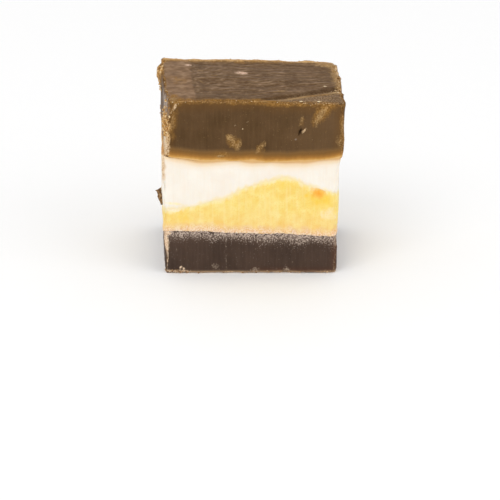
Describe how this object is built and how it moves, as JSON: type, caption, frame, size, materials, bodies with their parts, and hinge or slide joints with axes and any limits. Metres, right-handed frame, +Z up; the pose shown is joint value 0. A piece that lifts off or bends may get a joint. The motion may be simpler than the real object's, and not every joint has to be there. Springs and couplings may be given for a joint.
{
  "type": "layered fudge",
  "caption": "Hand-cut upright block of layered fudge: dark chocolate at the foot, yellow and white bands above, milk chocolate on top.",
  "frame": {"origin": "centre of the base, in the plane that the block stands on", "axes": "+Z up through the layers, -Y out of the front cut face, which is one of the two wide sides, +X to the right as seen from the front"},
  "size_m": [0.0422, 0.0332, 0.0405],
  "materials": {
    "dark_chocolate_fudge": "dark brown, knife-cut, faintly waxy with pale dusty smears",
    "yellow_fudge": "soft yellow, knife-cut, faintly waxy, slightly translucent",
    "white_fudge": "warm white, knife-cut, faintly waxy, slightly translucent",
    "milk_chocolate_fudge": "milk brown, waxy sheen, crumbly edges with tan flecks"
  },
  "bodies": {
    "root": {"dark_chocolate_layer": "dark_chocolate_fudge", "yellow_layer": "yellow_fudge", "white_layer": "white_fudge", "milk_chocolate_layer": "milk_chocolate_fudge"}
  },
  "joints": []
}
